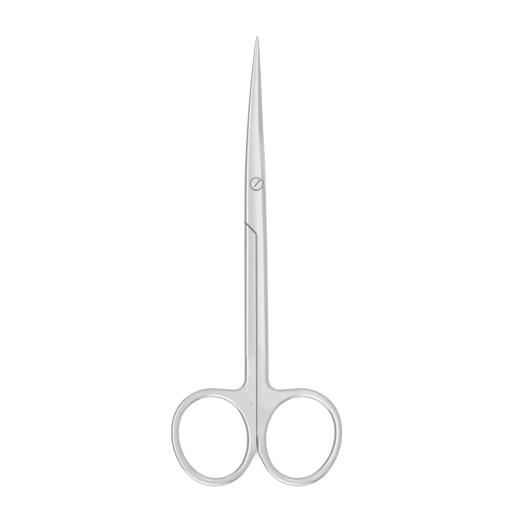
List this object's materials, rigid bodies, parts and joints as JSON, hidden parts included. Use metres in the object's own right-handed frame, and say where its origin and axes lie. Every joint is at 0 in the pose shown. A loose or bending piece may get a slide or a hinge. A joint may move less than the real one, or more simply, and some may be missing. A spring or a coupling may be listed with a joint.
{
  "type": "suture scissors",
  "caption": "Slender straight suture scissors in satin steel: two lapped blades on a slotted pivot screw, long straight shanks and egg-shaped finger rings, shown closed.",
  "frame": {"origin": "on the pivot screw's axis, in the plane that the scissors lie on (the crown of the back face touches it)", "axes": "+Y runs from the finger rings to the tips, +X to the ring of the front half, which is on the right in the picture, and +Z out of the front face with the screw's slot, towards the viewer"},
  "size_m": [0.0494, 0.13, 0.0039],
  "materials": {
    "satin_steel": "matt-brushed stainless steel, even and glare-free, with soft dark and bright bands along the rounded edges",
    "screw_steel": "stainless steel faced off with the half around it and matt-brushed with it"
  },
  "bodies": {
    "rear_half": {"rear_half": "satin_steel", "pivot_screw": "screw_steel"},
    "front_half": {"front_half": "satin_steel"}
  },
  "joints": [
    {"name": "pivot", "type": "hinge", "parent": "rear_half", "child": "front_half", "pos_m": [0, 0, 0.00197], "axis": [0, 0, 1], "range_deg": [0, 145]}
  ]
}
